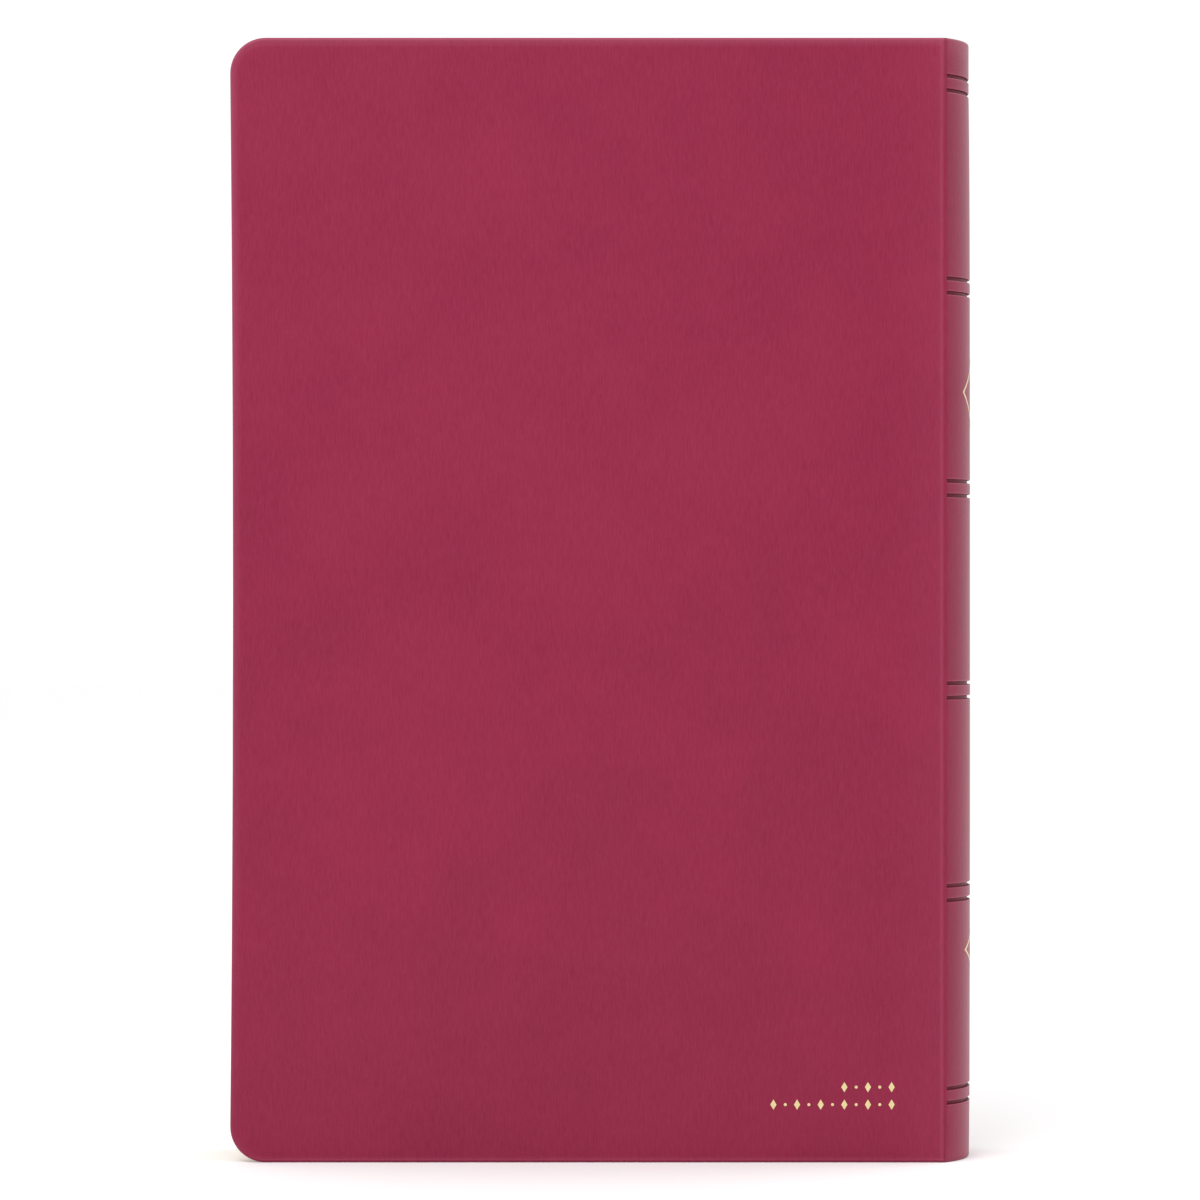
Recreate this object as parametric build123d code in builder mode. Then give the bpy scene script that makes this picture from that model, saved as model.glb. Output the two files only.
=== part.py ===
from build123d import *
import math
import os

# A flexible leather prayer book, closed and standing on its tail.
# +Z runs from tail to head, +X towards the spine, +Y out of the front cover and -Y out of the back.
# The origin is at the middle of the book's base. Millimetres throughout.

# --- Driving dimensions ---------------------------------------------------------------------------

# The case, which is the two covers and the spine together
case_height = 219.0            # tail to head
case_width = 145.1             # fore edge of the covers to the top of the spine's curve
spine_bulge = 5.8              # how far the spine's curve stands out past the two creases
cover_corner_radius = 7.0      # at the fore edge, head and tail
leather_thickness = 0.9        # one skin over covers and spine
turn_in_thickness = 0.2        # pared leather folded in over the boards and over the spine's ends
turn_in_width = 12.0           # how far the folded-in leather reaches from the edge
outer_edge_rounding = 0.7      # where the leather rolls over the board, on the outer face
inner_edge_rounding = 0.4      # the same on the inner face
hinge_gap = 0.3                # from the crease to the spine edge of a cover

# Inside a cover
board_rim_thickness = 0.5      # flexible board where the turn-ins lie on it
board_joint_width = 1.0        # bare leather between board and crease, where the cover bends
hinge_cloth_width = 25.0       # cloth that ties the cover to the sewn leaves
pastedown_thickness = 0.15
pastedown_inset = 2.5          # leather left bare round the pastedown

# The leaves
sections_per_half = 8
section_thickness = 1.52       # about forty thin leaves
leaf_width = 136.5             # fold to fore edge
square = 3.0                   # how far the covers reach past the leaves at head and tail
leaf_corner_radius = 5.0
half_gap = 0.2                 # from the middle of the book to the first leaf of either half
flyleaf_thickness = 0.2
leaf_clearance = 0.1           # either side of a flyleaf

# Inside the spine, from the leather inwards
stiffener_thickness = 0.4
lining_thickness = turn_in_thickness
mull_thickness = 0.2
mull_end_distance = 16.0       # from the case's head and tail
thread_thickness = 0.2
thread_height = 0.6
thread_rows = 6
thread_end_distance = 14.0     # from the leaves' head and tail to the first row of stitches
fold_clearance = 0.15          # folds of the sections to the thread, at the top of the curve

# Headband and tailband
band_bead = 1.3                # height and depth of the striped bead
band_tape_length = 9.0         # tape glued down the spine below the bead
band_clearance = 0.12          # bead to the ends of the leaves

# Lines pressed into the spine from crease to crease, in pairs
rib_pairs = 6
rib_head_distance = 8.8        # head to the middle of the first pair
rib_tail_distance = 13.0       # tail to the middle of the last pair
rib_line_spacing = 2.8         # between the two lines of a pair
rib_line_width = 0.65
rib_line_depth = 0.6

# --- What follows from them -----------------------------------------------------------------------

FRONT = 1
BACK = -1

fore_x = -case_width / 2
crease_x = case_width / 2 - spine_bulge
cover_spine_x = crease_x - hinge_gap

block_half = half_gap + sections_per_half * section_thickness
flyleaf_inner = block_half + leaf_clearance
cover_inner = flyleaf_inner + flyleaf_thickness + leaf_clearance
board_inner = cover_inner + pastedown_thickness
board_rim_inner = board_inner + turn_in_thickness
board_outer = board_rim_inner + board_rim_thickness
case_half = board_outer + leather_thickness

stiffener_depth = leather_thickness
lining_depth = stiffener_depth + stiffener_thickness
mull_depth = lining_depth + lining_thickness
thread_depth = mull_depth + mull_thickness
bead_depth = thread_depth + thread_thickness
fold_depth = bead_depth + fold_clearance

leaf_low = square
leaf_high = case_height - square

# The spine is part of a round: its layers share the middle of their arcs.
arch_radius = (case_half ** 2 + spine_bulge ** 2) / (2 * spine_bulge)
arch_middle_x = crease_x + spine_bulge - arch_radius

os.makedirs("parts", exist_ok=True)


def keep(part, name):
    """Label a finished piece and write it out."""
    part.label = name
    export_step(part, f"parts/{name}.step")


def upright(side, distance):
    """The upright plane at a distance from the middle of the book, on its front or back."""
    return Plane.XZ.offset(-side * distance)


def leaf_outline(outline, fore, spine, low, high, radius):
    """Sketch an upright leaf or cover, with its two fore-edge corners rounded."""
    with Locations((fore, low)):
        Rectangle(spine - fore, high - low, align=Align.MIN)
    if radius > 0:
        fillet(outline.vertices().group_by(Axis.X)[0], radius)


def cover_outline(outline, inset, spine=cover_spine_x):
    """Sketch a cover's outline, set in from its three free edges."""
    radius = cover_corner_radius - inset
    leaf_outline(outline, fore_x + inset, spine, inset, case_height - inset, radius)


def spine_round(depth, mode=Mode.ADD):
    """Sketch the round that the spine is part of, a depth below the outer face of its leather."""
    with Locations(Location((arch_middle_x, 0, 0), (0, 0, 180))):  # its seam is on the side cut away
        Circle(arch_radius - depth, mode=mode)


def spine_strip(outer_depth, inner_depth):
    """Sketch the strip between two depths, from one crease round to the other."""
    spine_round(outer_depth)
    spine_round(inner_depth, mode=Mode.SUBTRACT)
    with Locations((crease_x, 0)):
        Rectangle(3 * arch_radius, 3 * arch_radius, align=(Align.MAX, Align.CENTER), mode=Mode.SUBTRACT)


def fold_x(distance):
    """Where a section's fold comes to, for the distance of its outer leaf from the middle."""
    return arch_middle_x + math.sqrt((arch_radius - fold_depth) ** 2 - distance ** 2)


# --- Spine ----------------------------------------------------------------------------------------

# Leather of the spine: the part of a tube between the creases, with its ends folded in over the
# stiffener
line_levels = []
rib_pitch = (case_height - rib_head_distance - rib_tail_distance) / (rib_pairs - 1)
for pair in range(rib_pairs):
    middle = rib_tail_distance + pair * rib_pitch
    for offset_sign in (-1, 1):
        line_levels.append(middle + offset_sign * rib_line_spacing / 2 - rib_line_width / 2)

with BuildPart() as spine_leather:
    with BuildSketch(Plane.XY):
        spine_round(0)
        spine_round(stiffener_depth, mode=Mode.SUBTRACT)
    extrude(amount=case_height)
    end_rims = spine_leather.edges().filter_by(GeomType.CIRCLE).group_by(SortBy.RADIUS)[-1]
    fillet(end_rims, outer_edge_rounding)
    split(bisect_by=Plane.YZ.offset(crease_x))
    with BuildSketch(Plane.XY, Plane.XY.offset(case_height - leather_thickness)):
        spine_strip(stiffener_depth, lining_depth)
    extrude(amount=leather_thickness)
    with BuildSketch(Plane.XY, Plane.XY.offset(case_height - turn_in_width)):
        spine_strip(lining_depth, mull_depth)
    extrude(amount=turn_in_width)
    with BuildSketch(*[Plane.XY.offset(level) for level in line_levels]):
        with Locations((crease_x, 0)):
            Rectangle(spine_bulge, 3 * case_half, align=(Align.MIN, Align.CENTER))
        spine_round(rib_line_depth, mode=Mode.SUBTRACT)
    extrude(amount=rib_line_width, mode=Mode.SUBTRACT)
keep(spine_leather.part, "spine_leather")

# Thin card that keeps the spine's curve
with BuildPart() as spine_stiffener:
    with BuildSketch(Plane.XY.offset(leather_thickness)):
        spine_strip(stiffener_depth, lining_depth)
    extrude(amount=case_height - 2 * leather_thickness)
keep(spine_stiffener.part, "spine_stiffener")

# Kraft paper lining between the leather's two turn-ins
with BuildPart() as spine_lining:
    with BuildSketch(Plane.XY.offset(turn_in_width)):
        spine_strip(lining_depth, mull_depth)
    extrude(amount=case_height - 2 * turn_in_width)
keep(spine_lining.part, "spine_lining")

# Open-weave cloth glued over the folds
with BuildPart() as mull:
    with BuildSketch(Plane.XY.offset(mull_end_distance)):
        spine_strip(mull_depth, thread_depth)
    extrude(amount=case_height - 2 * mull_end_distance)
keep(mull.part, "mull")

# Rows of stitches that run across the folds
thread_low = leaf_low + thread_end_distance
thread_pitch = (leaf_high - leaf_low - 2 * thread_end_distance) / (thread_rows - 1)
with BuildPart() as sewing_thread:
    rows = [thread_low + row * thread_pitch - thread_height / 2 for row in range(thread_rows)]
    with BuildSketch(*[Plane.XY.offset(level) for level in rows]):
        spine_strip(thread_depth, bead_depth)
    extrude(amount=thread_height)
keep(sewing_thread.part, "sewing_thread")


def end_band(name, bead_low, tape_low):
    """A bead along the ends of the folds, on a tape glued to the inside of the spine."""
    with BuildPart() as band:
        with BuildSketch(Plane.XY.offset(bead_low)):
            spine_strip(bead_depth, bead_depth + band_bead)
        extrude(amount=band_bead)
        with BuildSketch(Plane.XY.offset(tape_low)):
            spine_strip(thread_depth, bead_depth)
        extrude(amount=band_tape_length + band_clearance + band_bead)
    keep(band.part, name)


end_band("headband", leaf_high + band_clearance, leaf_high - band_tape_length)
end_band("tailband", leaf_low - band_clearance - band_bead, leaf_low - band_clearance - band_bead)

# --- Leaves ---------------------------------------------------------------------------------------

# Sections are counted from the front cover: the front half ends at the middle opening.
for side in (FRONT, BACK):
    for place in range(sections_per_half):
        near = half_gap + place * section_thickness
        far = near + section_thickness
        fold = fold_x(far)
        number = sections_per_half - place if side == FRONT else sections_per_half + 1 + place
        with BuildPart() as section:
            with BuildSketch(upright(side, far)) as leaf:
                leaf_outline(leaf, fold - leaf_width, fold, leaf_low, leaf_high, leaf_corner_radius)
            extrude(amount=side * section_thickness)
            fold_edges = section.edges().filter_by(Axis.Z).group_by(Axis.X)[-1]
            fillet(fold_edges, 0.45 * section_thickness)
        keep(section.part, f"section_{number:02d}")

# A flyleaf lies between the leaves and each cover, hinged with the cover at the crease.
flyleaf_fore = fold_x(block_half) - leaf_width
for side, name in ((FRONT, "front_flyleaf"), (BACK, "back_flyleaf")):
    with BuildPart() as flyleaf:
        with BuildSketch(upright(side, flyleaf_inner + flyleaf_thickness)) as leaf:
            leaf_outline(leaf, flyleaf_fore, cover_spine_x, leaf_low, leaf_high, leaf_corner_radius)
        extrude(amount=side * flyleaf_thickness)
    keep(flyleaf.part, name)

# --- Covers ---------------------------------------------------------------------------------------

cloth_x = cover_spine_x - hinge_cloth_width


def free_edges(cover, side, outer_face):
    """The edges of a cover's outer or inner face, without the straight one along the crease."""
    faces = cover.faces().sort_by(Axis.Y)
    face = faces[-1] if (side == FRONT) == outer_face else faces[0]
    return face.edges().sort_by(Axis.X)[:-1]


for side, name in ((FRONT, "front"), (BACK, "back")):

    # Leather, rolled over the edges of the board and folded in behind it
    with BuildPart() as cover_leather:
        with BuildSketch(upright(side, case_half)) as face:
            cover_outline(face, 0)
        extrude(amount=side * (case_half - board_inner))
        fillet(free_edges(cover_leather, side, outer_face=True), outer_edge_rounding)
        fillet(free_edges(cover_leather, side, outer_face=False), inner_edge_rounding)
        with BuildSketch(upright(side, board_outer)) as pocket:
            cover_outline(pocket, leather_thickness)
        extrude(amount=side * board_rim_thickness, mode=Mode.SUBTRACT)
        with BuildSketch(upright(side, board_rim_inner)) as opening:
            cover_outline(opening, turn_in_width)
        extrude(amount=side * turn_in_thickness, mode=Mode.SUBTRACT)
    keep(cover_leather.part, f"{name}_cover_leather")

    # Flexible board, thicker where no turn-in and no cloth lies on it
    with BuildPart() as board:
        with BuildSketch(upright(side, board_outer)) as rim:
            cover_outline(rim, leather_thickness, spine=cover_spine_x - board_joint_width)
        extrude(amount=side * board_rim_thickness)
        with BuildSketch(upright(side, board_rim_inner)) as middle:
            cover_outline(middle, turn_in_width, spine=cloth_x)
        extrude(amount=side * turn_in_thickness)
    keep(board.part, f"{name}_board")

    # Cloth strip between board and pastedown, along the joint
    with BuildPart() as hinge_cloth:
        with BuildSketch(upright(side, board_rim_inner)) as strip:
            leaf_outline(strip, cloth_x, cover_spine_x, turn_in_width, case_height - turn_in_width, 0)
        extrude(amount=side * turn_in_thickness)
    keep(hinge_cloth.part, f"{name}_hinge_cloth")

    # Endpaper pasted over the inside of the cover
    with BuildPart() as pastedown:
        with BuildSketch(upright(side, board_inner)) as sheet:
            cover_outline(sheet, pastedown_inset)
        extrude(amount=side * pastedown_thickness)
    keep(pastedown.part, f"{name}_pastedown")
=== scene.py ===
import math

import bpy
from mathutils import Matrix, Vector


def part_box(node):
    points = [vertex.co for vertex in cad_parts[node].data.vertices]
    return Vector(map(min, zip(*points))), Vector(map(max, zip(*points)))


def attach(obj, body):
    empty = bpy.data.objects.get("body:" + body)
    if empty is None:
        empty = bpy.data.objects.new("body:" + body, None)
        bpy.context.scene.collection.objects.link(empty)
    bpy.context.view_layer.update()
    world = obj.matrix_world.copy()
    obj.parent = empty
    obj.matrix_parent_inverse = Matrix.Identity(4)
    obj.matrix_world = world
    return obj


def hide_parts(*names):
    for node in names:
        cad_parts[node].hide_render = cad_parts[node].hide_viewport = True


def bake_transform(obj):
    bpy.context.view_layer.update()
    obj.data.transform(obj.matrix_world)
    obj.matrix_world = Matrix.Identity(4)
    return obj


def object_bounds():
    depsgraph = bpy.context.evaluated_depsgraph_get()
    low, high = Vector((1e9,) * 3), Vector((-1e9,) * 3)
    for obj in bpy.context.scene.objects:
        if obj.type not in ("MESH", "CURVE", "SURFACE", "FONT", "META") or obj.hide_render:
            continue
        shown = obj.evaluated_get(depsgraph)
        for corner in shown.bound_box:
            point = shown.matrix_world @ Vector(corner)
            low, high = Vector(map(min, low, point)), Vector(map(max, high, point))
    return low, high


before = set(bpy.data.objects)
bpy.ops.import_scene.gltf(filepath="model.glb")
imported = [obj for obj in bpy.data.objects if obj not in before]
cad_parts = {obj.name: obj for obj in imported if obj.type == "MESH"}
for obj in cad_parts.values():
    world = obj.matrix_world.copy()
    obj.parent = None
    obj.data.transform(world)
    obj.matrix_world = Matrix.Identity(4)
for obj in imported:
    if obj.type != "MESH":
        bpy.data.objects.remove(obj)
cad_low, cad_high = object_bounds()
MM = 0.001

# --- Studio -----------------------------------------------------------------------------------------
# A white table in a white room. The light is broad and soft, a little stronger from above and from
# the left, so that the rolled edges and the spine's curve catch it without hard reflections.

back_cover_y = cad_low.y
camera_distance = 1.0
view_width = 233.5 * MM
camera_x = -0.45 * MM
sensor_width = 36.0

bpy.ops.object.select_all(action="DESELECT")
bpy.ops.object.camera_add(location=(camera_x, back_cover_y - camera_distance, (cad_low.z + cad_high.z) / 2),
                          rotation=(math.radians(90), 0, 0))
camera = bpy.context.object
camera.data.sensor_width = sensor_width
camera.data.lens = sensor_width * camera_distance / view_width
camera.data.clip_start = 0.01
bpy.context.scene.camera = camera
bpy.context.scene.view_settings.view_transform = "Standard"


def linear(hex_colour):
    """An sRGB hex colour as linear red, green, blue and alpha."""
    parts = [int(hex_colour[i:i + 2], 16) / 255 for i in (1, 3, 5)]
    return [p / 12.92 if p <= 0.04045 else ((p + 0.055) / 1.055) ** 2.4 for p in parts] + [1.0]


def node(material, kind, inputs=None, **options):
    """Add a shader node, set its options, and set or link its inputs."""
    made = material.node_tree.nodes.new(kind)
    for option, value in options.items():
        setattr(made, option, value)
    for socket, value in (inputs or {}).items():
        if isinstance(value, bpy.types.NodeSocket):
            material.node_tree.links.new(value, made.inputs[socket])
        else:
            made.inputs[socket].default_value = value
    return made


def new_material(name):
    """An empty node material, and its surface shader."""
    material = bpy.data.materials.new(name)
    material.use_nodes = True
    material.node_tree.nodes.clear()
    shader = node(material, "ShaderNodeBsdfPrincipled")
    node(material, "ShaderNodeOutputMaterial", {"Surface": shader.outputs["BSDF"]})
    return material, shader


def link(material, source, shader, socket):
    material.node_tree.links.new(source, shader.inputs[socket])


# Matt white laminate, evenly pale
table_white, shader = new_material("white_laminate")
grain = node(table_white, "ShaderNodeTexNoise", {"Scale": 6.0, "Detail": 2.0})
tone = node(table_white, "ShaderNodeMix", {"Factor": grain.outputs["Fac"], 6: linear("#F8F8F8"),
                                           7: linear("#FBFBFB")}, data_type="RGBA")
link(table_white, tone.outputs[2], shader, "Base Color")
shader.inputs["Roughness"].default_value = 0.9
shader.inputs["Specular IOR Level"].default_value = 0.1

bpy.ops.mesh.primitive_plane_add(size=12, location=(0, 0, cad_low.z))
table = bpy.context.object
table.name = "table"
table.data.materials.append(table_white)

world = bpy.data.worlds.new("white_room")
bpy.context.scene.world = world
world.use_nodes = True
world.node_tree.nodes["Background"].inputs["Color"].default_value = (1.0, 1.0, 1.0, 1.0)
world.node_tree.nodes["Background"].inputs["Strength"].default_value = 1.05

for place, target, size, power in (
    ((-0.25, -0.55, 0.75), (0, 0, 0.2), 0.5, 3.2),
    ((0.9, 0.5, 0.8), (0, 0, 0.1), 0.8, 2.0),
):
    bpy.ops.object.light_add(type="AREA", location=place)
    soft_box = bpy.context.object
    soft_box.data.size = size
    soft_box.data.energy = power
    aim = Vector(target) - Vector(place)
    soft_box.rotation_euler = aim.to_track_quat("-Z", "Y").to_euler()

# --- Leather ----------------------------------------------------------------------------------------
# Imitation leather: a polyurethane skin on a knitted backing, printed burgundy, with a fine grain of
# short upright creases pressed in, and rubbed so that its tone clouds softly over a centimetre or two.

grain_width = 0.32             # mm, across one crease of the grain
grain_length = 2.4             # mm, along it
cloud_size = 24.0              # mm, one patch of darker or lighter tone
pore_size = 0.2                # mm
grain_depth = 0.05 * MM


leather, shader = new_material("burgundy_imitation_leather")
here = node(leather, "ShaderNodeAttribute", attribute_name="place").outputs["Vector"]
drawn_out = node(leather, "ShaderNodeMapping", {"Vector": here,
                                                "Scale": (1, 1, grain_width / grain_length)})
creases = node(leather, "ShaderNodeTexNoise", {"Vector": drawn_out.outputs["Vector"],
                                               "Scale": 1 / grain_width, "Detail": 3.0,
                                               "Roughness": 0.55, "Distortion": 0.4})
pores = node(leather, "ShaderNodeTexNoise", {"Vector": here, "Scale": 1 / pore_size, "Detail": 1.0})
clouds = node(leather, "ShaderNodeTexNoise", {"Vector": here, "Scale": 1 / cloud_size, "Detail": 4.0,
                                              "Roughness": 0.6})
soft_clouds = node(leather, "ShaderNodeMapRange", {"Value": clouds.outputs["Fac"], "From Min": 0.3,
                                                   "From Max": 0.7}, interpolation_type="SMOOTHSTEP")
cloud_tone = node(leather, "ShaderNodeMix", {"Factor": soft_clouds.outputs["Result"], 6: linear("#7B1435"),
                                             7: linear("#811738")}, data_type="RGBA")
grain_tone = node(leather, "ShaderNodeMapRange", {"Value": creases.outputs["Fac"], "From Min": 0.3,
                                                  "From Max": 0.7, "To Min": 0.0, "To Max": 0.2})
leather_tone = node(leather, "ShaderNodeMix", {"Factor": grain_tone.outputs["Result"],
                                               6: cloud_tone.outputs[2], 7: linear("#9C3957")},
                    data_type="RGBA")
# Paler by the share each point stores. Most of it is painted highlight and sheen: on the covers' rolled rims,
# strongest at the head where the light falls from above, on the ridge by the crease, and on the lips of the
# spine's lines. The rest is real rubbing at the spine's head and tail.
sheen_and_wear_amount = node(leather, "ShaderNodeAttribute", attribute_name="painted_sheen_and_wear").outputs["Fac"]
sheen_and_wear_tone = node(leather, "ShaderNodeMix", {"Factor": sheen_and_wear_amount, 6: leather_tone.outputs[2],
                                              7: linear("#B05A74")}, data_type="RGBA")
link(leather, sheen_and_wear_tone.outputs[2], shader, "Base Color")
rub = node(leather, "ShaderNodeMapRange", {"Value": clouds.outputs["Fac"], "To Min": 0.3, "To Max": 0.38})
link(leather, rub.outputs["Result"], shader, "Roughness")
relief = node(leather, "ShaderNodeMath", {0: creases.outputs["Fac"], 1: 0.8}, operation="MULTIPLY")
relief_sum = node(leather, "ShaderNodeMath", {0: relief.outputs["Value"], 1: pores.outputs["Fac"]},
                  operation="ADD")
bump = node(leather, "ShaderNodeBump", {"Height": relief_sum.outputs["Value"], "Strength": 0.45,
                                        "Distance": grain_depth})
link(leather, bump.outputs["Normal"], shader, "Normal")
shader.inputs["IOR"].default_value = 1.48
shader.inputs["Specular IOR Level"].default_value = 0.2

# Blind-stamped leather: a heated brass rule melts the skin smooth and nearly black
stamped, shader = new_material("heat_stamped_leather")
here = node(stamped, "ShaderNodeAttribute", attribute_name="place").outputs["Vector"]
scorch = node(stamped, "ShaderNodeTexNoise", {"Vector": here, "Scale": 0.7, "Detail": 2.0})
scorch_tone = node(stamped, "ShaderNodeMix", {"Factor": scorch.outputs["Fac"], 6: linear("#5A0820"),
                                              7: linear("#7A1233")}, data_type="RGBA")
link(stamped, scorch_tone.outputs[2], shader, "Base Color")
shader.inputs["Roughness"].default_value = 0.45
shader.inputs["Specular IOR Level"].default_value = 0.12


def let_go():
    """Leave edit mode, with nothing selected."""
    if bpy.context.object and bpy.context.object.mode == "EDIT":
        bpy.ops.object.mode_set(mode="OBJECT")
    bpy.ops.object.select_all(action="DESELECT")


def pick(kind, test):
    """In edit mode, select only the faces or edges that pass a test, by their place."""
    bpy.ops.object.mode_set(mode="EDIT")
    bpy.ops.mesh.select_mode(type=kind)
    bpy.ops.mesh.select_all(action="DESELECT")
    bpy.ops.object.mode_set(mode="OBJECT")
    mesh = bpy.context.object.data
    if kind == "FACE":
        for face in mesh.polygons:
            face.select = test(face.center, face.normal)
    else:
        for edge in mesh.edges:
            start, end = (mesh.vertices[i].co for i in edge.vertices)
            edge.select = test(start, end)
    bpy.ops.object.mode_set(mode="EDIT")


def cut(place, normal, **options):
    """Cut the whole mesh with a plane."""
    bpy.ops.object.mode_set(mode="EDIT")
    bpy.ops.mesh.select_all(action="SELECT")
    bpy.ops.mesh.bisect(plane_co=place, plane_no=normal, **options)


def paint(piece, material, test):
    """Give the faces that pass a test a material of their own."""
    bpy.ops.object.mode_set(mode="OBJECT")
    piece.data.materials.append(material)
    for face in piece.data.polygons:
        if test(face.center, face.normal):
            face.material_index = len(piece.data.materials) - 1


def remember_place(piece):
    """Store where each point lies in the closed book, so that its pattern bends with it."""
    bpy.ops.object.mode_set(mode="OBJECT")
    places = piece.data.attributes.new("place", "FLOAT_VECTOR", "POINT")
    for vertex, place in zip(piece.data.vertices, places.data):
        place.vector = vertex.co / MM


def smooth(piece, angle=35):
    let_go()
    piece.select_set(True)
    bpy.context.view_layer.objects.active = piece
    bpy.ops.object.shade_smooth_by_angle(angle=math.radians(angle))


def apply_modifier(piece, kind, **settings):
    bpy.ops.object.mode_set(mode="OBJECT")
    bpy.context.view_layer.objects.active = piece
    modifier = piece.modifiers.new(kind.lower(), kind)
    for name, value in settings.items():
        setattr(modifier, name, value)
    bpy.ops.object.modifier_apply(modifier=modifier.name)


def near(a, b, tolerance=0.005 * MM):
    return abs(a - b) < tolerance


# --- Spine leather ----------------------------------------------------------------------------------
# The skin arches from one crease round to the other over a thin card. Six pairs of narrow lines are
# stamped across it with a hot brass roll, which leaves a soft lip beside each line.

spine_low, spine_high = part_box("spine_leather")
crease_x = spine_low.x
spine_bulge = spine_high.x - spine_low.x
spine_half = spine_high.y
book_top = spine_high.z
skin_thickness = 0.9 * MM
line_pairs = 6
line_head_distance = 8.8 * MM
line_tail_distance = 13.0 * MM
line_spacing = 2.8 * MM
line_width = 0.65 * MM
line_depth = 0.58 * MM
line_start = 0.45 * MM
lip_round = 0.18 * MM
spine_end_round = 0.5 * MM
spine_head_tuck = 0.28 * MM    # the spine is drawn in this much where it is knocked at the head
spine_tail_tuck = 0.22 * MM
tuck_start = 10.0 * MM         # at the head it is drawn in evenly this far, and then less and less
tuck_reach = 18.0 * MM
tuck_cuts = [step * MM for step in (4, 16, 22, 30, 40)]    # from each end, so that the skin can curve
crease_depth = 0.14 * MM
crease_reach = 0.6 * MM        # the spine's skin dips within this distance of the crease
ridge_distance = 0.7 * MM      # the board's edge lifts the cover's skin this far before the crease
ridge_reach = 1.3 * MM
cover_sink = 0.16 * MM         # how much lower than that ridge the rest of the cover lies
lip_reach = 0.4 * MM           # the skin is painted paler within this distance of a line: a painted highlight on its lip
# how much paler the lip is painted, as a painted highlight
lip_highlight = 0.25
end_rub = 0.12
end_rub_reach = 2.0 * MM

arch_radius = (spine_half ** 2 + spine_bulge ** 2) / (2 * spine_bulge)
arch_middle_x = crease_x + spine_bulge - arch_radius
arch_facets = 480              # in a whole turn


def arch_x(y):
    """How far out the spine's round stands at a distance from the book's middle."""
    return arch_middle_x + math.sqrt(arch_radius ** 2 - y ** 2)


def tuck(place):
    """How much the spine is drawn in at a place, near its head and tail."""
    from_head = max(0.0, book_top - place.z - tuck_start)
    head_pull = spine_head_tuck * math.exp(-from_head / tuck_reach)
    tail_pull = spine_tail_tuck * math.exp(-place.z / tuck_reach)
    return (head_pull + tail_pull) * max(0.0, place.x - crease_x) / spine_bulge


def ease(share):
    """A soft step from 0 to 1."""
    share = max(0.0, min(1.0, share))
    return share ** 2 * (3 - 2 * share)


def skin_fall(x):
    """How far the skin lies below the ridge beside the crease."""
    before_crease = crease_x - x
    if before_crease < 0:
        return crease_depth * (1 - ease(-before_crease / crease_reach))
    if before_crease < ridge_distance:
        return crease_depth * (1 - ease(before_crease / ridge_distance))
    return cover_sink * ease((before_crease - ridge_distance) / ridge_reach)


def settle(piece, outer_y, inner_y):
    """Lower the outer face by the skin's fall, and leave the inner face where it is."""
    for vertex in piece.data.vertices:
        nearness = max(0.0, min(1.0, (abs(vertex.co.y) - inner_y) / (outer_y - inner_y)))
        vertex.co.y -= math.copysign(skin_fall(vertex.co.x) * nearness, vertex.co.y)


def remember_sheen_and_wear(piece, amount):
    """Store how much paler each point is painted, from none at 0 to pale at 1: painted highlight and sheen,
    and real rubbing at the spine's ends.
    """
    bpy.ops.object.mode_set(mode="OBJECT")
    painted_sheen_and_wear = piece.data.attributes.new("painted_sheen_and_wear", "FLOAT", "POINT")
    for vertex, sheen_and_wear_amount in zip(piece.data.vertices, painted_sheen_and_wear.data):
        sheen_and_wear_amount.value = amount(vertex.co)


bpy.ops.object.select_all(action="DESELECT")
bpy.ops.mesh.primitive_cylinder_add(vertices=arch_facets, radius=arch_radius, depth=book_top,
                                    end_fill_type="NOTHING", location=(arch_middle_x, 0, book_top / 2))
arch = bpy.context.object
bpy.ops.object.transform_apply(location=True, rotation=False, scale=True)
cut((crease_x - skin_thickness, 0, 0), (1, 0, 0), clear_inner=True)
for distance in tuck_cuts:
    cut((0, 0, distance), (0, 0, 1))
    cut((0, 0, book_top - distance), (0, 0, 1))

line_pitch = (book_top - line_head_distance - line_tail_distance) / (line_pairs - 1)
line_levels = [line_tail_distance + pair * line_pitch + side * line_spacing / 2
               for pair in range(line_pairs) for side in (-1, 1)]
for level in line_levels:
    for offset in (line_width / 2, line_width / 2 + lip_reach):
        cut((0, 0, level - offset), (0, 0, 1))
        cut((0, 0, level + offset), (0, 0, 1))


half_line = 0.501 * line_width    # a hair over half, so that a line's walls count as in it
facet_angle = 2 * math.pi / arch_facets
line_end_facet = round(math.acos((crease_x + line_start - arch_middle_x) / arch_radius) / facet_angle)


def in_line(centre):
    """Whether a face lies in a line: its floor, its walls or the skin it is pressed from."""
    depth = arch_radius - math.hypot(centre.x - arch_middle_x, centre.y)
    facets_from_crest = abs(math.atan2(centre.y, centre.x - arch_middle_x)) / facet_angle
    return (depth < 0.5 * (line_depth + skin_thickness) and facets_from_crest < line_end_facet + 0.1
            and any(near(centre.z, level, half_line) for level in line_levels))


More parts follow.
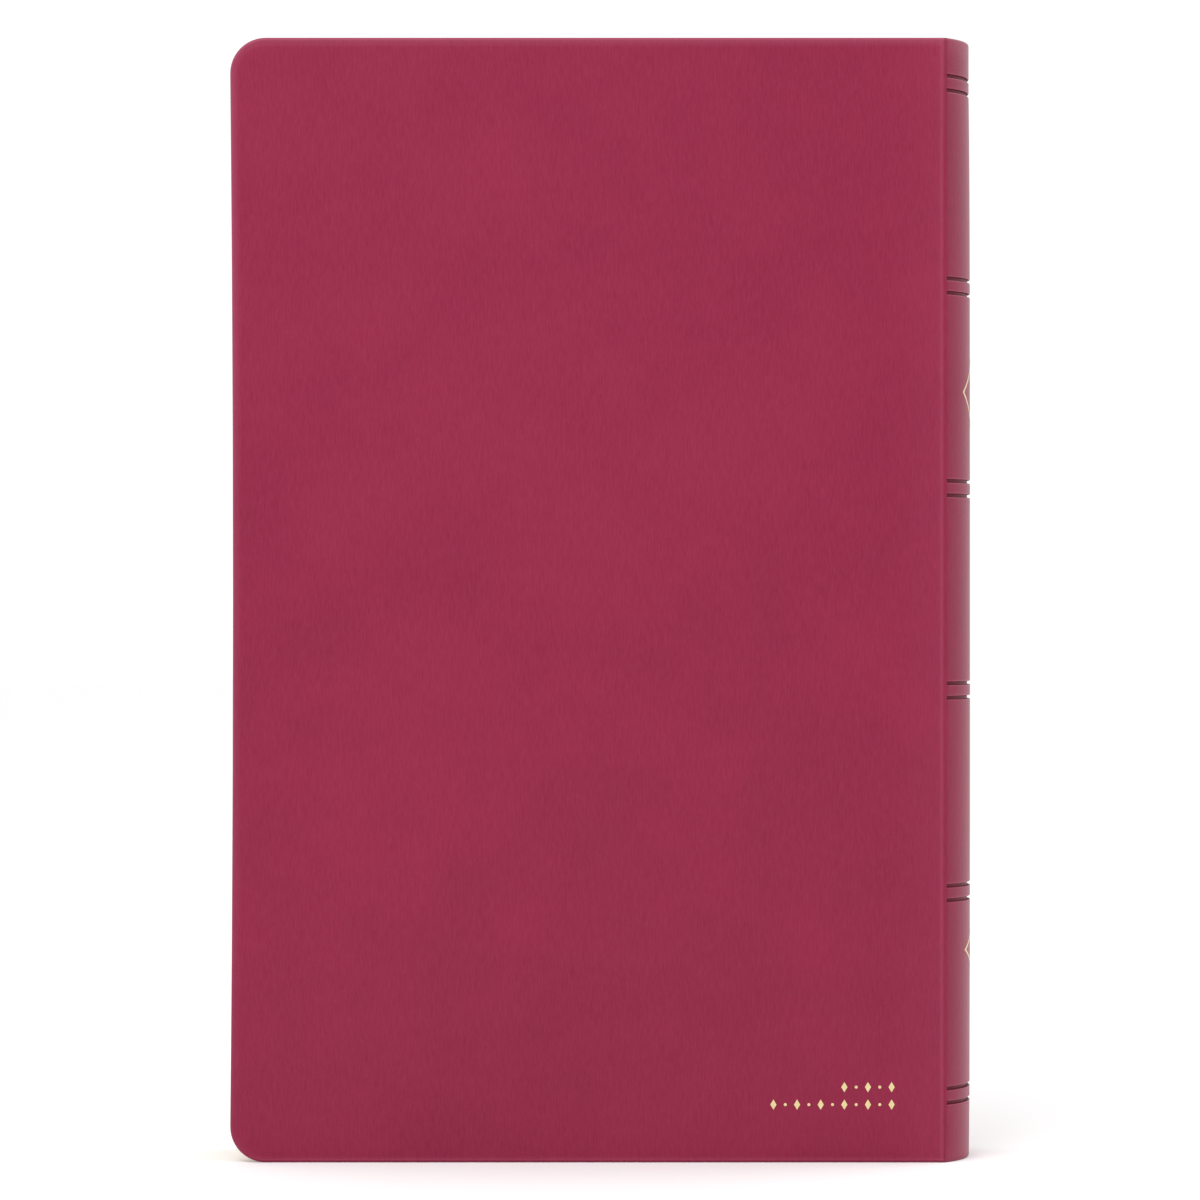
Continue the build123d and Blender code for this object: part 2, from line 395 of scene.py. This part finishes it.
apply_modifier(arch, "SOLIDIFY", thickness=skin_thickness, offset=-1.0)
pick("FACE", lambda centre, normal: in_line(centre))
bpy.ops.mesh.extrude_region_shrink_fatten(TRANSFORM_OT_shrink_fatten={"value": -line_depth})
arch.data.materials.append(leather)
paint(arch, stamped, lambda centre, normal: in_line(centre))
pick("EDGE", lambda a, b: near(a.z, b.z) and (near(a.z, 0) or near(a.z, book_top))
     and a.x > arch_x(a.y) - 0.1 * skin_thickness and b.x > arch_x(b.y) - 0.1 * skin_thickness)
bpy.ops.mesh.bevel(offset=spine_end_round, segments=4, affect="EDGES")
pick("FACE", lambda centre, normal: in_line(centre))
bpy.ops.mesh.region_to_loop()
bpy.ops.mesh.bevel(offset=lip_round, segments=3, affect="EDGES")
cut((crease_x, 0, 0), (1, 0, 0), clear_inner=True, use_fill=True)
bpy.ops.object.mode_set(mode="OBJECT")
settle(arch, spine_half, spine_half - skin_thickness)
for vertex in arch.data.vertices:
    vertex.co.x -= tuck(vertex.co)


def spine_sheen_and_wear(place):
    """The spine is painted paler beside its lines, as a painted highlight on their lips, and is rubbed pale
    at head and tail.
    """
    from_line = min(abs(place.z - level) for level in line_levels) - line_width / 2
    lip = lip_highlight * ease(1 - from_line / lip_reach) * ease((place.x - crease_x) / line_start - 0.5)
    return lip + end_rub * ease(1 - min(place.z, book_top - place.z) / end_rub_reach)


def keep_half(side):
    """One half of the arch, from its crest to the crease of one cover."""
    let_go()
    arch.select_set(True)
    bpy.context.view_layer.objects.active = arch
    bpy.ops.object.duplicate(linked=False)
    half = bpy.context.object
    cut((0, 0, 0), (0, -side, 0), clear_outer=True, use_fill=True)
    return half


for side, name in ((1, "front"), (-1, "back")):
    half = keep_half(side)
    half.name = f"spine_leather_{name}_half"
    smooth(half)
    remember_place(half)
    # painted highlight on the lips of the lines, and rubbing at head and tail
    remember_sheen_and_wear(half, spine_sheen_and_wear)
    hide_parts("spine_leather")
    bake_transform(half)
bpy.ops.object.mode_set(mode="OBJECT")
bpy.data.objects.remove(arch)

# --- Cover leather ----------------------------------------------------------------------------------
# Each cover is the same skin drawn over a flexible board: its three free edges roll over and are
# folded in behind, and it dips into a shallow crease before the spine begins.

outer_roll = 0.75 * MM
inner_roll = 0.5 * MM
cover_corner = 7.0 * MM
rim_rings = (0.6 * MM, 0.6 * MM, 1.6 * MM)      # in these the skin settles flat inside the roll
rim_drop = 0.16 * MM           # how far the skin has dropped where the roll begins
fore_edge_bow = 0.62 * MM      # the long fore edge draws in a little at its middle
bend_length = 3.2 * MM         # the cover flexes this far from the crease
bend_cuts = [0.15 * MM * step for step in range(1, 15)] + [step * MM for step in (2.4, 2.8, 3.2, 5, 8, 12)]
height_cuts = (0.1, 0.2, 0.35, 0.5, 0.65, 0.8, 0.9)    # shares of the height, for that bow
# The cover's paleness is painted light: highlights on the rolled rims and on the ridge, and sheen towards the
# ridge
rim_sheen_reach = 1.8 * MM          # a free edge is painted paler this far in: a painted highlight on its roll
rim_sheen_at_tail = 0.09
rim_sheen_rise = 0.24            # how much more it is painted pale at the head: a painted highlight where the light falls from above
# a painted highlight along the ridge beside the crease
ridge_highlight = 0.13
ridge_highlight_reach = 0.6 * MM
swell_sheen = 0.05               # the skin is painted a little paler on its way to the ridge: painted sheen
swell_reach = 12.0 * MM


def add_slab(name, low, high, corner):
    """An upright slab with its two fore-edge corners rounded."""
    let_go()
    bpy.ops.mesh.primitive_cube_add(size=1, location=(low + high) / 2, scale=high - low)
    slab = bpy.context.object
    slab.name = name
    bpy.ops.object.transform_apply(location=True, rotation=False, scale=True)
    pick("EDGE", lambda a, b: near(a.x, low.x) and near(b.x, low.x) and near(a.z, b.z))
    bpy.ops.mesh.bevel(offset=corner, segments=12, affect="EDGES")
    return slab


def from_edge(place):
    """The distance from a cover's nearest free edge, rounded corners included."""
    across = place.x - cad_low.x
    along = min(place.z, book_top - place.z)
    if across < cover_corner and along < cover_corner:
        return cover_corner - math.hypot(cover_corner - across, cover_corner - along)
    return min(across, along)


def cover_painted_sheen(place):
    """A cover is painted paler at its rims, most at the head where the light falls from above, and along the
    ridge beside the crease: painted highlights and sheen.
    """
    rim = ease(1 - from_edge(place) / rim_sheen_reach) * (rim_sheen_at_tail + rim_sheen_rise * place.z / book_top)
    before_crease = crease_x - place.x
    ridge = ridge_highlight * ease(1 - abs(before_crease - ridge_distance) / ridge_highlight_reach)
    swell = swell_sheen * ease(1 - before_crease / swell_reach) * ease(before_crease / ridge_distance)
    return rim + ridge + swell


for side, name in ((1, "front"), (-1, "back")):
    low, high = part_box(f"{name}_cover_leather")
    high.x = crease_x
    outer_y = high.y if side == 1 else low.y
    inner_y = low.y if side == 1 else high.y
    cover = add_slab(f"{name}_cover_skin", low, high, cover_corner)
    for level, roll, segments in ((outer_y, outer_roll, 5), (inner_y, inner_roll, 4)):
        pick("EDGE", lambda a, b: near(a.y, level) and near(b.y, level)
             and not (near(a.x, high.x) and near(b.x, high.x)))
        bpy.ops.mesh.bevel(offset=roll, segments=segments, affect="EDGES")
    pick("FACE", lambda centre, normal: near(centre.y, outer_y))
    for ring in rim_rings:
        bpy.ops.mesh.inset(thickness=ring)
    for bend_cut in bend_cuts:
        cut((crease_x - bend_cut, 0, 0), (1, 0, 0))
    for share in height_cuts:
        cut((0, 0, book_top * share), (0, 0, 1))
    bpy.ops.object.mode_set(mode="OBJECT")
    # painted highlight and sheen on the rims and along the ridge
    remember_sheen_and_wear(cover, cover_painted_sheen)
    for vertex in cover.data.vertices:
        settling = max(0.0, 1 - (from_edge(vertex.co) - outer_roll) / sum(rim_rings[:2]))
        if near(vertex.co.y, outer_y):
            vertex.co.y -= side * rim_drop * settling ** 2
        off_middle = 2 * vertex.co.z / book_top - 1
        vertex.co.x += fore_edge_bow * (1 - off_middle ** 2) * (crease_x - vertex.co.x) / (crease_x - low.x)
    settle(cover, abs(outer_y), abs(inner_y))
    smooth(cover, angle=50)
    remember_place(cover)
    cover.data.materials.append(leather)
    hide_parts(f"{name}_cover_leather")
    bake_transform(cover)

# --- Foil -------------------------------------------------------------------------------------------
# Pale gold foil, pressed onto the skin with a heated die: a plain ornament on the spine and a small
# border near the tail of the back cover. It lies on the leather, a few hundredths thick.

foil_lift = 0.03 * MM

foil, shader = new_material("pressed_gold_foil")
here = node(foil, "ShaderNodeAttribute", attribute_name="place").outputs["Vector"]
speckle = node(foil, "ShaderNodeTexNoise", {"Vector": here, "Scale": 3.5, "Detail": 3.0})
foil_tone = node(foil, "ShaderNodeMix", {"Factor": speckle.outputs["Fac"], 6: linear("#C9B27A"),
                                         7: linear("#F0E2AE")}, data_type="RGBA")
link(foil, foil_tone.outputs[2], shader, "Base Color")
foil_wear = node(foil, "ShaderNodeMapRange", {"Value": speckle.outputs["Fac"], "To Min": 0.22,
                                              "To Max": 0.42})
link(foil, foil_wear.outputs["Result"], shader, "Roughness")
shader.inputs["Metallic"].default_value = 0.9


def finish_foil(name, pieces, body):
    """Join foil shapes into one piece that rides on a body."""
    let_go()
    for piece in pieces:
        piece.select_set(True)
    bpy.context.view_layer.objects.active = pieces[0]
    bpy.ops.object.join()
    whole = bpy.context.object
    bpy.ops.object.transform_apply(location=True, rotation=True, scale=True)
    whole.name = name
    whole.data.materials.append(foil)
    remember_place(whole)
    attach(whole, body)
    return whole


# The border: two rows in which a lozenge and a dot take turns
border = []
border_right = 56.9 * MM
border_rows = ((14.7 * MM, 5), (11.3 * MM, 11))    # each row's height on the cover, and its marks
border_pitch = 2.3 * MM
lozenge_height = 2.0 * MM
lozenge_width = 1.2 * MM
dot_size = 0.6 * MM
for row_z, count in border_rows:
    for place in range(count):
        is_lozenge = place % 2 == 0
        middle_x = border_right - lozenge_width / 2 - place * border_pitch
        middle = (middle_x, back_cover_y + cover_sink - foil_lift / 2, row_z)
        bpy.ops.mesh.primitive_cylinder_add(vertices=4 if is_lozenge else 12, radius=0.5, depth=1,
                                            location=middle, rotation=(math.radians(90), 0, 0))
        mark = bpy.context.object
        width = lozenge_width if is_lozenge else dot_size
        height = lozenge_height if is_lozenge else dot_size
        mark.scale = (width, height, foil_lift)
        border.append(mark)
finish_foil("back_cover_border", border, "back_cover")


# The spine's ornaments: a plain cross in a lozenge, and a ring in a small one near the tail
ring_cuts = 10                 # cuts from the middle to either side, so that it can bend
bar_cuts = 5


def wrap_on_spine(piece):
    """Bend a flat shape that stands at x = 0 round the spine's curve, just proud of the skin."""
    bpy.ops.object.mode_set(mode="OBJECT")
    for vertex in piece.data.vertices:
        vertex.co.x += arch_x(vertex.co.y)
        vertex.co.x -= tuck(vertex.co)


def add_spine_ring(corners, half_width, half_height, middle_z, line):
    """A closed gold line round the spine, as a polygon of so many corners."""
    let_go()
    bpy.ops.mesh.primitive_circle_add(vertices=corners, radius=1, fill_type="NGON", location=(0, 0, middle_z),
                                      rotation=(0, math.radians(90), 0))
    ring = bpy.context.object
    ring.scale = (half_height, half_width, 1)
    bpy.ops.object.transform_apply(location=True, rotation=True, scale=True)
    bpy.ops.object.mode_set(mode="EDIT")
    bpy.ops.mesh.select_all(action="SELECT")
    bpy.ops.mesh.inset(thickness=line)
    bpy.ops.mesh.delete(type="FACE")
    bpy.ops.mesh.select_all(action="SELECT")
    for step in range(1 - ring_cuts, ring_cuts):
        cut((0, step * half_width / ring_cuts, 0), (0, 1, 0))
    return ring


def add_spine_bar(half_width, half_height, middle_z):
    """A straight gold bar on the spine."""
    let_go()
    bpy.ops.mesh.primitive_plane_add(size=2, location=(0, 0, middle_z), rotation=(0, math.radians(90), 0))
    bar = bpy.context.object
    bar.scale = (half_height, half_width, 1)
    bpy.ops.object.transform_apply(location=True, rotation=True, scale=True)
    for step in range(1 - bar_cuts, bar_cuts):
        cut((0, step * half_width / bar_cuts, 0), (0, 1, 0))
    return bar


cross_z = 150.2 * MM           # the middle of its lozenge
cross_lozenge = (9.0 * MM, 7.6 * MM)    # half its width and half its height
cross_lozenge_line = 0.5 * MM
cross_stroke = 0.4 * MM        # half the thickness of either bar
upright_length = 4.6 * MM      # half of it
upright_drop = 0.4 * MM
crossbar_length = 2.8 * MM     # half of it
crossbar_rise = 1.4 * MM
cross = [
    add_spine_ring(4, *cross_lozenge, cross_z, cross_lozenge_line),
    add_spine_bar(cross_stroke, upright_length, cross_z - upright_drop),
    add_spine_bar(crossbar_length, cross_stroke, cross_z + crossbar_rise),
]
tail_mark_z = 41.0 * MM
tail_lozenge = (8.0 * MM, 4.2 * MM)
tail_lozenge_line = 0.45 * MM
tail_ring_radius = 1.4 * MM
tail_ring_line = 0.4 * MM
tail_mark = [
    add_spine_ring(4, *tail_lozenge, tail_mark_z, tail_lozenge_line),
    add_spine_ring(24, tail_ring_radius, tail_ring_radius, tail_mark_z, tail_ring_line),
]
for name, shapes in (("spine_cross", cross), ("spine_tail_mark", tail_mark)):
    for shape in shapes:
        wrap_on_spine(shape)
        apply_modifier(shape, "SOLIDIFY", thickness=foil_lift, offset=1.0)
    finish_foil(name, shapes, "spine")

# --- Endpapers --------------------------------------------------------------------------------------
# A folded sheet of stout coloured paper at each end of the book. One half is pasted inside the cover
# and the other is the flyleaf, so both bend at the crease.

pastedown_corner = 4.5 * MM
leaf_corner = 5.0 * MM
flyleaf_bend = 7.0 * MM        # each sheet bends within such a distance of the crease
pastedown_step = 0.4 * MM      # and is cut so often there
flyleaf_step = 0.7 * MM
crease_clearance = 0.05 * MM

endpaper, shader = new_material("burgundy_endpaper")
here = node(endpaper, "ShaderNodeAttribute", attribute_name="place").outputs["Vector"]
laid = node(endpaper, "ShaderNodeTexNoise", {"Vector": here, "Scale": 1.6, "Detail": 4.0, "Roughness": 0.7})
endpaper_tone = node(endpaper, "ShaderNodeMix", {"Factor": laid.outputs["Fac"], 6: linear("#5E1B2D"),
                                                 7: linear("#71263B")}, data_type="RGBA")
link(endpaper, endpaper_tone.outputs[2], shader, "Base Color")
tooth = node(endpaper, "ShaderNodeBump", {"Height": laid.outputs["Fac"], "Strength": 0.35,
                                          "Distance": 0.02 * MM})
link(endpaper, tooth.outputs["Normal"], shader, "Normal")
shader.inputs["Roughness"].default_value = 0.82
shader.inputs["Specular IOR Level"].default_value = 0.3

for side, name in ((1, "front"), (-1, "back")):
    for node_name, corner, body, bend, step in (
        (f"{name}_pastedown", pastedown_corner, f"{name}_cover", bend_length, pastedown_step),
        (f"{name}_flyleaf", leaf_corner, f"{name}_flyleaf", flyleaf_bend, flyleaf_step),
    ):
        low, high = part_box(node_name)
        high.x = crease_x - crease_clearance
        sheet = add_slab(f"{node_name}_sheet", low, high, corner)
        for cut_number in range(1, round(bend / step) + 1):
            cut((crease_x - cut_number * step, 0, 0), (1, 0, 0))
        smooth(sheet)
        remember_place(sheet)
        sheet.data.materials.append(endpaper)
        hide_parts(node_name)
        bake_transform(sheet)

# --- Leaves -----------------------------------------------------------------------------------------
# Sixteen sections of thin cream paper, each folded and sewn through its fold. The block is rounded,
# so its folds stand out and its fore edge hollows to match, and its three trimmed edges are gilt.

fold_round = 0.6 * MM
gutter_length = 20.0 * MM      # the leaves bend within this distance of their folds
gutter_step = 1.25 * MM
cuts_through_section = 4
leaf_line = 0.22               # mm, drawn coarser than one leaf so that it shows

paper, shader = new_material("thin_cream_book_paper")
here = node(paper, "ShaderNodeAttribute", attribute_name="place").outputs["Vector"]
fibre = node(paper, "ShaderNodeTexNoise", {"Vector": here, "Scale": 1.2, "Detail": 5.0, "Roughness": 0.7})
paper_tone = node(paper, "ShaderNodeMix", {"Factor": fibre.outputs["Fac"], 6: linear("#EDE5D2"),
                                           7: linear("#F5EFE0")}, data_type="RGBA")
link(paper, paper_tone.outputs[2], shader, "Base Color")
shader.inputs["Roughness"].default_value = 0.75
shader.inputs["Specular IOR Level"].default_value = 0.3

# The opening in the middle shows two columns of small print, as plain grey runs of no words at all
# (all in millimetres, as the places that the pages remember are)
row_pitch = 3.3
row_ink = 0.36                 # share of the pitch that is inked
row_shift = 7.31               # moves each row's runs along, so that no two rows match
word_length = 3.6
noise_cells = 3.0              # in one run and the gap after it
gap_level = 0.43               # where that noise is lower, the paper is bare
ink_strength = 0.5
column_middle = 29.5           # from the middle of the page
column_width = 52.0
page_middle = -2.0
print_low = 18.0
print_high = 201.0

printed, shader = new_material("printed_book_paper")
here = node(printed, "ShaderNodeAttribute", attribute_name="place").outputs["Vector"]
across = node(printed, "ShaderNodeSeparateXYZ", {"Vector": here})
row = node(printed, "ShaderNodeMath", {0: across.outputs["Z"], 1: row_pitch}, operation="DIVIDE")
row_number = node(printed, "ShaderNodeMath", {0: row.outputs["Value"]}, operation="FLOOR")
row_part = node(printed, "ShaderNodeMath", {0: row.outputs["Value"]}, operation="FRACT")
in_row = node(printed, "ShaderNodeMath", {0: row_part.outputs["Value"], 1: row_ink}, operation="LESS_THAN")
from_middle = node(printed, "ShaderNodeMath", {0: across.outputs["X"], 1: page_middle}, operation="SUBTRACT")
off_middle = node(printed, "ShaderNodeMath", {0: from_middle.outputs["Value"]}, operation="ABSOLUTE")
off_column = node(printed, "ShaderNodeMath", {0: off_middle.outputs["Value"], 1: column_middle},
                  operation="SUBTRACT")
column_part = node(printed, "ShaderNodeMath", {0: off_column.outputs["Value"]}, operation="ABSOLUTE")
in_column = node(printed, "ShaderNodeMath", {0: column_part.outputs["Value"], 1: column_width / 2},
                 operation="LESS_THAN")
below_top = node(printed, "ShaderNodeMath", {0: across.outputs["Z"], 1: print_high}, operation="LESS_THAN")
above_low = node(printed, "ShaderNodeMath", {0: across.outputs["Z"], 1: print_low}, operation="GREATER_THAN")
word_place = node(printed, "ShaderNodeMath", {0: across.outputs["X"], 1: noise_cells / word_length},
                  operation="MULTIPLY")
row_offset = node(printed, "ShaderNodeMath", {0: row_number.outputs["Value"], 1: row_shift},
                  operation="MULTIPLY")
word_spot = node(printed, "ShaderNodeCombineXYZ", {"X": word_place.outputs["Value"],
                                                   "Y": row_offset.outputs["Value"]})
words = node(printed, "ShaderNodeTexNoise", {"Vector": word_spot.outputs["Vector"], "Scale": 1.0,
                                             "Detail": 1.0})
ink = node(printed, "ShaderNodeMath", {0: words.outputs["Fac"], 1: gap_level}, operation="GREATER_THAN")
for mask in (in_row, in_column, below_top, above_low):
    ink = node(printed, "ShaderNodeMath", {0: ink.outputs["Value"], 1: mask.outputs["Value"]},
               operation="MULTIPLY")
ink_amount = node(printed, "ShaderNodeMath", {0: ink.outputs["Value"], 1: ink_strength},
                  operation="MULTIPLY")
fibre = node(printed, "ShaderNodeTexNoise", {"Vector": here, "Scale": 1.2, "Detail": 5.0, "Roughness": 0.7})
sheet_tone = node(printed, "ShaderNodeMix", {"Factor": fibre.outputs["Fac"], 6: linear("#EDE5D2"),
                                             7: linear("#F5EFE0")}, data_type="RGBA")
inked_tone = node(printed, "ShaderNodeMix", {"Factor": ink_amount.outputs["Value"], 6: sheet_tone.outputs[2],
                                             7: linear("#3A3634")}, data_type="RGBA")
link(printed, inked_tone.outputs[2], shader, "Base Color")
shader.inputs["Roughness"].default_value = 0.75
shader.inputs["Specular IOR Level"].default_value = 0.3

# Gilt edges: gold leaf burnished onto the trimmed paper, broken by the fine lines of the leaves
gilt, shader = new_material("gilt_page_edges")
here = node(gilt, "ShaderNodeAttribute", attribute_name="place").outputs["Vector"]
stacked = node(gilt, "ShaderNodeMapping", {"Vector": here, "Scale": (0.01, 1, 0.01)})
leaf_lines = node(gilt, "ShaderNodeTexNoise", {"Vector": stacked.outputs["Vector"], "Scale": 1 / leaf_line,
                                               "Detail": 2.0, "Roughness": 0.6})
rubbed = node(gilt, "ShaderNodeTexNoise", {"Vector": here, "Scale": 0.12, "Detail": 3.0})
gilt_tone = node(gilt, "ShaderNodeMix", {"Factor": leaf_lines.outputs["Fac"], 6: linear("#B08A45"),
                                         7: linear("#E6C987")}, data_type="RGBA")
link(gilt, gilt_tone.outputs[2], shader, "Base Color")
burnish = node(gilt, "ShaderNodeMapRange", {"Value": rubbed.outputs["Fac"], "To Min": 0.3, "To Max": 0.48})
link(gilt, burnish.outputs["Result"], shader, "Roughness")
leaf_edges = node(gilt, "ShaderNodeBump", {"Height": leaf_lines.outputs["Fac"], "Strength": 0.5,
                                           "Distance": 0.05 * MM})
link(gilt, leaf_edges.outputs["Normal"], shader, "Normal")
shader.inputs["Metallic"].default_value = 0.85

middle_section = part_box("section_08")[1]
fold_radius = math.hypot(middle_section.x - arch_middle_x, middle_section.y)


def fold_x(y):
    """How far out the folds stand at a distance from the book's middle."""
    return arch_middle_x + math.sqrt(fold_radius ** 2 - y ** 2)


for number in range(1, 17):
    low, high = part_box(f"section_{number:02d}")
    section = add_slab(f"section_{number:02d}_leaves", low, high, leaf_corner)
    pick("EDGE", lambda a, b: near(a.x, high.x) and near(b.x, high.x) and near(a.y, b.y))
    bpy.ops.mesh.bevel(offset=fold_round, segments=4, affect="EDGES")
    for step in range(1, round(gutter_length / gutter_step) + 1):
        cut((high.x - step * gutter_step, 0, 0), (1, 0, 0))
    for step in range(1, cuts_through_section):
        cut((0, low.y + (high.y - low.y) * step / cuts_through_section, 0), (0, 1, 0))
    bpy.ops.object.mode_set(mode="OBJECT")
    outer = max(abs(low.y), abs(high.y))
    for vertex in section.data.vertices:
        vertex.co.x += fold_x(vertex.co.y) - fold_x(outer)
    smooth(section)
    remember_place(section)
    section.data.materials.append(paper)
    paint(section, gilt, lambda centre, normal: abs(normal.y) < 0.5 and centre.x < high.x - fold_round)
    if number in (8, 9):
        opening = low.y if number == 8 else high.y
        paint(section, printed, lambda centre, normal: near(centre.y, opening) and abs(normal.y) > 0.9)
    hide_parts(f"section_{number:02d}")
    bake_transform(section)

# --- Headbands --------------------------------------------------------------------------------------
# A short woven band is glued over the folds at head and tail, with a corded edge in two colours of
# silk that shows just past the leaves.

bead_radius = 0.65 * MM
band_tape = 0.2 * MM
silk_stripe = 1.3              # mm, one pair of stripes
one_wave = 0.314               # the scale at which a wave pattern repeats once in a millimetre
band_end = 0.3 * MM            # from the crease

headband_silk, shader = new_material("striped_headband_silk")
here = node(headband_silk, "ShaderNodeAttribute", attribute_name="place").outputs["Vector"]
stripes = node(headband_silk, "ShaderNodeTexWave", {"Vector": here, "Scale": one_wave / silk_stripe,
                                                    "Distortion": 0.0}, bands_direction="Y")
stripe_edge = node(headband_silk, "ShaderNodeMapRange", {"Value": stripes.outputs["Fac"], "From Min": 0.4,
                                                         "From Max": 0.6})
silk_tone = node(headband_silk, "ShaderNodeMix", {"Factor": stripe_edge.outputs["Result"],
                                                  6: linear("#7A1E38"), 7: linear("#D8BE84")},
                 data_type="RGBA")
link(headband_silk, silk_tone.outputs[2], shader, "Base Color")
strands = node(headband_silk, "ShaderNodeTexWave", {"Vector": here, "Scale": 1.6, "Distortion": 0.5},
               bands_direction="Y")
strand_bump = node(headband_silk, "ShaderNodeBump", {"Height": strands.outputs["Fac"], "Strength": 0.6,
                                                     "Distance": 0.06 * MM})
link(headband_silk, strand_bump.outputs["Normal"], shader, "Normal")
shader.inputs["Roughness"].default_value = 0.45
shader.inputs["Sheen Weight"].default_value = 0.3

for name in ("headband", "tailband"):
    low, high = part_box(name)
    bead_z = high.z - bead_radius if name == "headband" else low.z + bead_radius
    let_go()
    round_radius = high.x - arch_middle_x - band_tape - bead_radius
    bpy.ops.curve.primitive_bezier_circle_add(radius=round_radius, location=(arch_middle_x, 0, bead_z))
    band = bpy.context.object
    bpy.ops.object.transform_apply(location=True, rotation=False, scale=False)
    band.data.bevel_depth = bead_radius
    band.data.bevel_resolution = 4
    band.data.resolution_u = 64
    bpy.ops.object.convert(target="MESH")
    band = bpy.context.object
    cut((crease_x + band_end, 0, 0), (1, 0, 0), clear_inner=True, use_fill=True)
    band.name = f"{name}_bead"
    smooth(band, angle=60)
    remember_place(band)
    band.data.materials.append(headband_silk)
    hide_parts(name)
    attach(band, "spine")

# --- Inside the case --------------------------------------------------------------------------------
# Board, card, paper, cloth and thread that the skin and the endpapers hide, each in its plain finish.


def plain_stock(name, dark, light, patch, roughness, coarse=(1, 1, 1)):
    """A dull fibrous material with a fine mottle, for paper, board, cloth and thread."""
    material, shader = new_material(name)
    place = node(material, "ShaderNodeTexCoord").outputs["Object"]
    drawn = node(material, "ShaderNodeMapping", {"Vector": place, "Scale": coarse})
    mottle = node(material, "ShaderNodeTexNoise", {"Vector": drawn.outputs["Vector"],
                                                   "Scale": 1 / (patch * MM), "Detail": 4.0})
    tone = node(material, "ShaderNodeMix", {"Factor": mottle.outputs["Fac"], 6: linear(dark),
                                            7: linear(light)}, data_type="RGBA")
    link(material, tone.outputs[2], shader, "Base Color")
    relief = node(material, "ShaderNodeBump", {"Height": mottle.outputs["Fac"], "Strength": 0.4,
                                               "Distance": 0.05 * MM})
    link(material, relief.outputs["Normal"], shader, "Normal")
    shader.inputs["Roughness"].default_value = roughness
    return material


for material, names in (
    (plain_stock("grey_flexible_board", "#8F8474", "#A89C8A", 0.8, 0.9), ("front_board", "back_board",
                                                                          "spine_stiffener")),
    (plain_stock("kraft_paper", "#8F6E4A", "#A98760", 1.0, 0.85, (1, 1, 0.2)), ("spine_lining",)),
    (plain_stock("open_weave_cloth", "#C9C2B0", "#E4DECF", 0.5, 0.95), ("mull", "front_hinge_cloth",
                                                                       "back_hinge_cloth")),
    (plain_stock("linen_thread", "#D3CBB8", "#E9E3D4", 0.3, 0.8), ("sewing_thread",)),
):
    for name in names:
        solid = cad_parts[name]
        for index in range(len(solid.data.materials)):
            solid.material_slots[index].material = material
